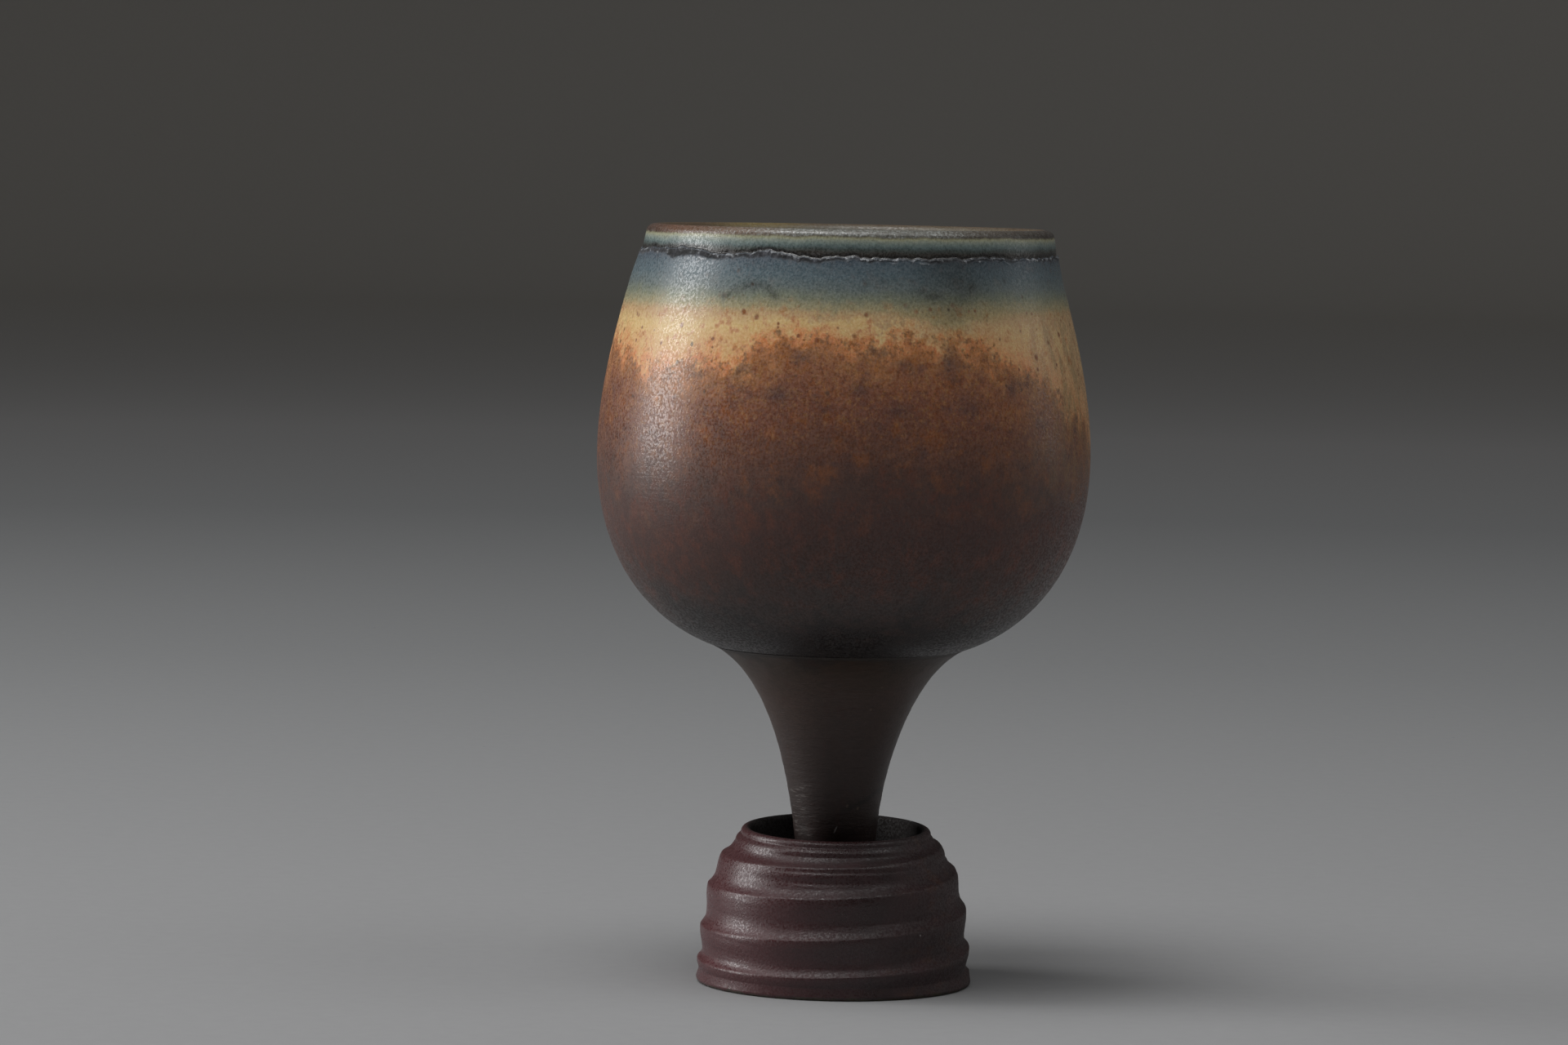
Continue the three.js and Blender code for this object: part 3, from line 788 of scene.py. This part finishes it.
foot = {
    "around": 480,
    "height": 16.45,
    "baseRadius": 14.57,
    "baseHeight": 1.2,
    "edgeRound": 0.45,
    "lean": 3.3,
    "lowerPull": 8.0,
    "shoulderHeight": 15.8,
    "shoulderSlope": 40,
    "shoulderPull": 4.6,
    "mouthRadius": 9.0,
    "rimWidth": 1.05,
    "rimRise": 0.55,
    "tilt": 3.2,  # degrees, the thrown form leans to the front
    "tiltHeight": 6.0,
    "mouthTilt": 2.4,
    "mouthFrom": 11.0,
    "mouthEase": 4.5,
    "dishFloor": 10.15,
    "dishFloorRadius": 5.6,
    "ringWidth": 2.8,
    "recessDepth": 3.0,
    "turns": 3.667,  # the throwing rib
    "crowding": 6.87,
    "middle": 0.4713,
    "start": 0.42,
    "depth": 0.48,
    "ledge": 0.27,
    "fadeIn": 1.6,
    "fadeOut": 1.2,
    # finer lines of the same tool: height, degrees, spread in degrees, depth, height of the scar
    "fineLines": [
        (12.33, -12, 34, 0.07, 0.9), (13.4, -4, 42, 0.1, 0.65), (14.1, 0, 38, 0.07, 0.6),
        (14.76, -10, 36, 0.08, 0.7), (13.2, 120, 60, 0.1, 0.8), (9.6, 150, 50, 0.08, 0.9),
        (14.6, -140, 50, 0.1, 0.7), (5.2, 185, 60, 0.07, 0.9), (11.6, 70, 30, 0.06, 0.8),
        (8.2, 35, 30, 0.06, 0.9), (3.4, 55, 30, 0.05, 0.9)],
    "toolLines": 0.012,
    "raggedEdge": 0.045,
    # millimetres between rows, from the recess underneath round to the dish's floor
    "rowGaps": {"recess": 0.9, "edge": 0.1, "wall": 0.135, "rim": 0.1, "dish": 0.35, "floor": 1.5},
    "body": [(0.3, "2f1b1c"), (0.5, "382122"), (0.7, "422628")],
    "clay": [(0.3, "35302a"), (0.7, "544b3d")],
    "litSideRed": "723a3e",
    "rust": "53301f",
    "shade": "120a08",
    "glint": "a09a98",
}


def footOutline():
    rimMiddle = (foot["mouthRadius"] + foot["rimWidth"] / 2, foot["height"] - foot["rimRise"])
    rim = roundOver(rimMiddle, foot["rimWidth"] / 2, foot["rimRise"], 0, 180)
    shoulder = (foot["mouthRadius"] + foot["rimWidth"], foot["shoulderHeight"])
    wall = sweep((foot["baseRadius"], foot["baseHeight"]), 90 + foot["lean"], foot["lowerPull"], shoulder,
                 180 - foot["shoulderSlope"], foot["shoulderPull"])
    rim = np.concatenate([wall[-1:], rim])
    ringOuter = foot["baseRadius"] - foot["edgeRound"]
    ringInner = ringOuter - foot["ringWidth"]
    edge = roundOver((ringOuter, foot["edgeRound"]), foot["edgeRound"], foot["edgeRound"], -90, 0, 12)
    recess = sweep((0, foot["recessDepth"]), 0, ringInner * 0.75,
                   (ringInner, 0), -90, foot["recessDepth"] * 0.7)
    dish = sweep((foot["mouthRadius"], rimMiddle[1]), -90, (foot["height"] - foot["dishFloor"]) * 0.55,
                 (foot["dishFloorRadius"], foot["dishFloor"]), 180,
                 (foot["mouthRadius"] - foot["dishFloorRadius"]) * 0.9)
    floor = np.array([dish[-1], (0, foot["dishFloor"])])
    return {"recess": recess, "edge": edge, "wall": wall, "rim": rim, "dish": dish, "floor": floor}


def ribDrop(phase):
    # going up from a crest: back over a short ledge, then out again to the next crest
    ledge = foot["ledge"]
    return np.where(phase < ledge, 1 - (1 - phase / ledge) ** 2, 1 - smooth((phase - ledge) / (1 - ledge)))


def wallCut(turn, height):
    # how deep the rib and the finer lines cut into the foot's wall, and how much of that is ledge
    share = height / foot["height"]
    risen = foot["turns"] * share + foot["crowding"] * (share - foot["middle"]) ** 3 + foot["start"]
    phase = (risen - turn) % 1
    fadeOut = smooth((foot["height"] - foot["rimRise"] - height) / foot["fadeOut"])
    depth = foot["depth"] * (1 + 0.12 * wallWaves(turn, height, 5, 3.0, 51))
    cut = depth * ribDrop(phase) * smooth(height / foot["fadeIn"]) * fadeOut
    for level, degrees, spread, fine, tall in foot["fineLines"]:
        rise = (height - level - 0.15 * ringWaves(turn, 5, int(level * 10))) / tall
        scar = np.where(rise > 0, ribDrop(np.clip(rise, 0, 1)), 0)
        cut = cut + fine * scar * near(aroundFrom(turn, degrees), 0, spread)
    lines = wallWaves(turn, height + 0.5 * turn, 5, 0.35, 52)
    lines = lines + 0.5 * wallWaves(turn, height + 0.3 * turn, 7, 0.17, 53)
    cut = cut + foot["toolLines"] * (1 + lines) * smooth((height - 0.6) / 0.5)
    return cut, np.where(phase < 0.4, 1 - phase / 0.4, 0)


def makeFoot(finish):
    rows, kinds = [], []
    for kind, run in footOutline().items():
        made, _ = layRows([run], lambda radius, height: foot["rowGaps"][kind] + 0 * radius)
        fresh = made[(1 if rows else 0):].tolist()
        rows += fresh
        kinds += [kind] * len(fresh)
    corners = [kinds.index("edge") - 1]
    slope, mouthSlope = math.tan(math.radians(foot["tilt"])), math.tan(math.radians(foot["mouthTilt"]))
    rimTop = foot["height"] - foot["rimRise"]
    # the recess and the dish need fewer points round them
    around = [foot["around"] // (2 if kind in ("recess", "dish", "floor") else 1) for kind in kinds]
    counts = [1 if radius < 0.01 else n for (radius, _), n in zip(rows, around)]

    def shape(turn, radius, height, index):
        kind = kinds[index]
        if kind == "recess" or radius < 0.01:
            return radius + 0 * turn, height, {"bare": float(kind == "recess")}
        nibble = foot["raggedEdge"] * near(height, 0.25, 0.45) * (
            0.5 + 0.5 * ringWaves(turn, 130, 54) + 0.5 * smooth(ringWaves(turn, 60, 55) * 2 - 0.7))
        bareTop = 0.3 if kind == "edge" else 0.26
        bare = smooth((bareTop + 0.2 * ringWaves(turn, 110, 56) - height) / 0.15)
        if kind == "edge":
            return radius - nibble, height, {"bare": bare}
        forward = -radius * np.cos(2 * np.pi * turn)
        if kind in ("wall", "rim"):
            eased = smooth((height - foot["mouthFrom"]) / foot["mouthEase"])
            share = height / foot["tiltHeight"]
        else:
            eased = 1
            share = (height - foot["dishFloor"]) / (rimTop - foot["dishFloor"])
        lifted = height + (slope + (mouthSlope - slope) * eased) * forward * smooth(share)
        if kind != "wall":
            # the dish, the inside of the rim and the rim's back half are marked for painted shade
            insideRim = smooth((foot["mouthRadius"] + 0.6 - radius) / 0.5)
            return radius + 0 * turn, lifted, {"hollow": np.maximum(insideRim, smooth(forward / 4))}
        cut, ledge = wallCut(turn, lifted - slope * forward)
        return radius - cut - nibble, lifted, {"bare": bare, "ledge": ledge}

    turnPiece("thrown_foot", np.array(rows), corners, evenCounts(counts), shape, finish)


def footGlaze():
    finish, tree, shader, place, parts = newFinish("footGlaze")
    across = parts.outputs["X"]
    bare, ledge, hollow = mark(tree, "bare"), mark(tree, "ledge"), mark(tree, "hollow")
    cloud = noise(tree, place, 0.28, 4.0, 0.6, (1, 1, 0.8))
    base = ramp(tree, cloud, 0.0, 1.0, foot["body"])
    # redder on the left, lightened there as painted light on the lit side
    base = tint(tree, base, foot["litSideRed"], fade(tree, across, 4.0, -14.0), 0.6)
    rust = fade(tree, noise(tree, place, 0.4, 3.0, 0.6, (1, 1, 2), 8.0), 0.52, 0.7)
    base = tint(tree, base, foot["rust"], rust, fade(tree, across, 2.0, 9.0), 0.5)
    mottle = noise(tree, place, 2.2, 4.0, 0.65, (1, 1, 1.6), 4.0)
    base = grained(tree, base, mottle, 0.5, (0.3, "606060"), (0.7, "9c9c9c"))
    # painted shade: the marked dish and back of the rim darkened nearly to black
    base = tint(tree, base, foot["shade"], hollow, 0.92)
    base = blend(tree, bare, base, ramp(tree, mottle, 0.0, 1.0, foot["clay"]))
    base = tint(tree, base, foot["glint"], specks(tree, place, 1.1, 0.06, 0.3, 1.0, 2.0), 0.7)

    # glossiest on the left, with a grain that glitters there
    worn = times(tree, ledge, fade(tree, across, -11.0, -4.0, 0.0, 0.3))
    aside = fade(tree, across, 2.0, 10.0, 0.0, 0.28)
    rough = total(tree, (cloud, 0.15), (worn, 1.0), (aside, 1.0), (bare, 0.4), (hollow, 0.4))
    glitter = fade(tree, noise(tree, place, 4.0, 3.0, 0.7, (1, 1, 1), 19.0), 0.42, 0.58, 0.0, 0.3)
    rough = calc(tree, "ADD", total(tree, (rough, 1.0), (glitter, 1.0)), 0.15, clamp=True)
    tooth = noise(tree, place, 3.9, 3.0, 0.65, (1, 1, 1.1), 6.0)
    wire(tree, shader, base, rough, bump(tree, tooth, 0.045 * mm))
    shader.inputs["IOR"].default_value = glazeIor
    return finish


makeBowl(bowlGlaze())
makeStem(stemGlaze())
makeSlip("bowl_slip", 320, 0.02, 61, slipGlaze("seamSlip", "2a2623", "3a332e"))
makeSlip("foot_slip", 240, 0.12, 65, slipGlaze("footSlip", "17110f", "261b18"))
makeFoot(footGlaze())


# Studio: one round sweep of paper, lamps and the camera

studio = {
    "floorRadius": 2.6,
    "bend": 0.5,
    "wallTop": 1.0,
    # lamps: degrees right of the front, degrees up, metres away, width, height, level on the vase, tint
    "side": (-96, 15, 0.8, 0.31, 0.6, 0.57, "ffffff"),
    "fill": (108, 16, 0.8, 0.3, 0.5, 0.035, "ffffff"),
    "left": (-64, 65, 0.8, 0.4, 0.4, 0.27, "ffffff"),
    "front": (-24, 70, 0.8, 0.4, 0.4, 0.31, "ffffff"),
    "over": (-62, 79, 0.8, 0.4, 0.4, 0.15, "ffffff"),
    "right": (72, 57, 0.8, 0.4, 0.4, 0.13, "ffffff"),
    "ambient": 0.075,
    "aim": 0.045,  # the lamps point at this height on the vase
    # tone of the paper by share of the floor's radius, dark behind the vase to pale at the wall: painted
    # light and shade for the run of brightness over floor and wall
    "paper": [(0.0, "99999a"), (0.15, "939495"), (0.3, "9a9b9c"), (0.45, "b6b5b5"), (1.0, "cdcac5")],
    "dust": "4c4c4c",
    # camera, in millimetres and degrees
    "eye": (-6.1, -600.0, 88.0),
    "down": 3.75,
    "roll": 1.06,
    "lens": 130.86,
}


def paperFinish():
    finish, tree, shader, place, parts = newFinish("sweepPaper")
    level = add(tree, "CombineXYZ", {0: parts.outputs["X"], 1: parts.outputs["Y"]}).outputs[0]
    away = add(tree, "VectorMath", {0: level}, operation="LENGTH").outputs["Value"]
    share = calc(tree, "DIVIDE", away, studio["floorRadius"] / mm, clamp=True)
    # painted light and shade: the tone by distance stands for how the light falls over the floor and wall
    tone = ramp(tree, share, 0.0, 1.0, studio["paper"])
    fibre = noise(tree, place, 0.5, 4.0, 0.6)
    tone = grained(tree, tone, fibre, 0.12, (0.3, "6c6c6c"), (0.7, "949494"))
    tone = tint(tree, tone, studio["dust"], specks(tree, place, 0.13, 0.06, 0.9, 1.0, 3.0), 0.35)
    tree.links.new(tone, shader.inputs["Base Color"])
    shader.inputs["Roughness"].default_value = 0.8
    shader.inputs["Specular IOR Level"].default_value = 0.15
    return finish


def makeSweep():
    radius, bend, top = studio["floorRadius"], studio["bend"], studio["wallTop"]
    rows = [(radius * (k / 24) ** 2, 0) for k in range(25)]
    for degrees in range(6, 91, 6):
        risen = math.radians(degrees)
        rows.append((radius + bend * math.sin(risen), bend * (1 - math.cos(risen))))
    rows.append((radius + bend, top))
    count = 96
    angles = [2 * math.pi * k / count for k in range(count)]
    points = [(0, 0, 0)]
    for r, z in rows[1:]:
        points += [(r * math.sin(angle), -r * math.cos(angle), z) for angle in angles]
    faces = [(0, 1 + k, 1 + (k + 1) % count) for k in range(count)]
    for ring in range(len(rows) - 2):
        a, b = 1 + ring * count, 1 + (ring + 1) * count
        faces += [(a + k, b + k, b + (k + 1) % count, a + (k + 1) % count) for k in range(count)]
    mesh = bpy.data.meshes.new("paper_sweep")
    mesh.from_pydata(points, [], faces)
    mesh.shade_smooth()
    mesh.materials.append(paperFinish())
    sweepPaper = bpy.data.objects.new("paper_sweep", mesh)
    bpy.context.scene.collection.objects.link(sweepPaper)


def makeLamp(name, degrees, up, away, width, height, level, shade):
    data = bpy.data.lights.new(name, "AREA")
    data.shape, data.size, data.size_y = "RECTANGLE", width, height
    data.energy = level * (math.pi * away) ** 2  # lights a grey card at the vase to that level
    data.color = colour(shade)[:3]
    lamp = bpy.data.objects.new(name, data)
    bpy.context.scene.collection.objects.link(lamp)
    turned, risen = math.radians(degrees), math.radians(up)
    lamp.location = (away * math.cos(risen) * math.sin(turned), -away * math.cos(risen) * math.cos(turned),
                     away * math.sin(risen) + studio["aim"])
    lamp.rotation_euler = (math.radians(90) - risen, 0, turned)
    lamp.visible_camera = False


makeSweep()
for name in ("side", "fill", "left", "front", "over", "right"):
    makeLamp(name, *studio[name])

world = bpy.data.worlds.new("studioAir")
world.use_nodes = True
world.node_tree.nodes["Background"].inputs["Color"].default_value = (1, 1, 1, 1)
world.node_tree.nodes["Background"].inputs["Strength"].default_value = studio["ambient"]
bpy.context.scene.world = world
bpy.context.scene.view_settings.view_transform = "Standard"

lens = bpy.data.cameras.new("camera")
lens.lens = studio["lens"]
lens.sensor_width = 36
lens.sensor_fit = "HORIZONTAL"
lens.clip_start, lens.clip_end = 0.05, 20
camera = bpy.data.objects.new("camera", lens)
bpy.context.scene.collection.objects.link(camera)
camera.location = [v * mm for v in studio["eye"]]
camera.rotation_mode = "ZXY"
camera.rotation_euler = (math.radians(90 - studio["down"]), 0, math.radians(studio["roll"]))
bpy.context.scene.camera = camera
print("studio ready")
